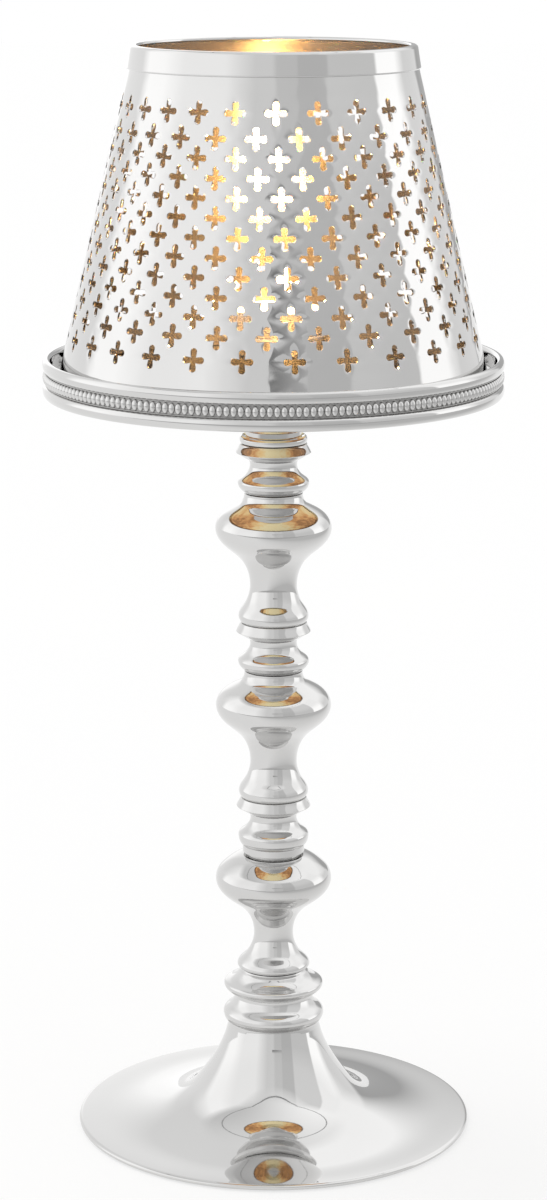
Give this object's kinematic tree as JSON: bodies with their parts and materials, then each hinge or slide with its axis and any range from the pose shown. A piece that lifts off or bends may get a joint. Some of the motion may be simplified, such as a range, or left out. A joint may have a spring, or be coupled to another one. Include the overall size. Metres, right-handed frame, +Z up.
{
  "type": "candle lamp with shade",
  "caption": "Table candle lamp: perforated cone shade on a beaded tray, turned baluster stem and trumpet foot, for a tealight.",
  "frame": {"origin": "centre of the flat underside of the foot, where the lamp stands on a table", "axes": "+Z up along the stem's axis, +X to the right as the lamp is seen, +Y away from the viewer"},
  "size_m": [0.18, 0.18, 0.4345],
  "materials": {
    "polished_nickel": "mirror polished nickel plate",
    "brass_plate": "polished brass, warm",
    "zinc_steel": "zinc plated steel, satin",
    "cast_iron": "rough black casting",
    "felt": "short pressed felt",
    "aluminium_can": "thin bright pressed aluminium",
    "candle_wax": "soft white wax, partly melted",
    "wick_cotton": "braided cotton, charred at the tip"
  },
  "bodies": {
    "stand": {"felt_pad": "felt", "base_plate": "zinc_steel", "base_weight": "cast_iron", "foot": "polished_nickel", "foot_washer": "zinc_steel", "foot_nut": "zinc_steel", "tie_rod": "zinc_steel", "foot_collar": "polished_nickel", "lower_baluster": "polished_nickel", "lower_reel": "polished_nickel", "middle_baluster": "polished_nickel", "middle_reel": "polished_nickel", "upper_baluster": "polished_nickel", "upper_reel": "polished_nickel", "neck_collar": "polished_nickel", "tray_boss": "polished_nickel", "tray_underplate": "brass_plate", "tray_pan": "polished_nickel", "tray_moulding": "polished_nickel", "beaded_band": "polished_nickel", "candle_cup": "polished_nickel", "tray_washer": "zinc_steel", "tray_nut": "zinc_steel"},
    "tealight": {"tealight_can": "aluminium_can", "tealight_wax": "candle_wax", "tealight_wick": "wick_cotton", "wick_tab": "zinc_steel"},
    "shade": {"shade_shell": "polished_nickel", "shade_collar": "polished_nickel"}
  },
  "joints": [
    {"name": "shade_lift", "type": "slide", "parent": "stand", "child": "shade", "axis": [0, 0, 1], "range_m": [0, 0.15]},
    {"name": "tealight_lift", "type": "slide", "parent": "stand", "child": "tealight", "axis": [0, 0, 1], "range_m": [0, 0.14]}
  ]
}
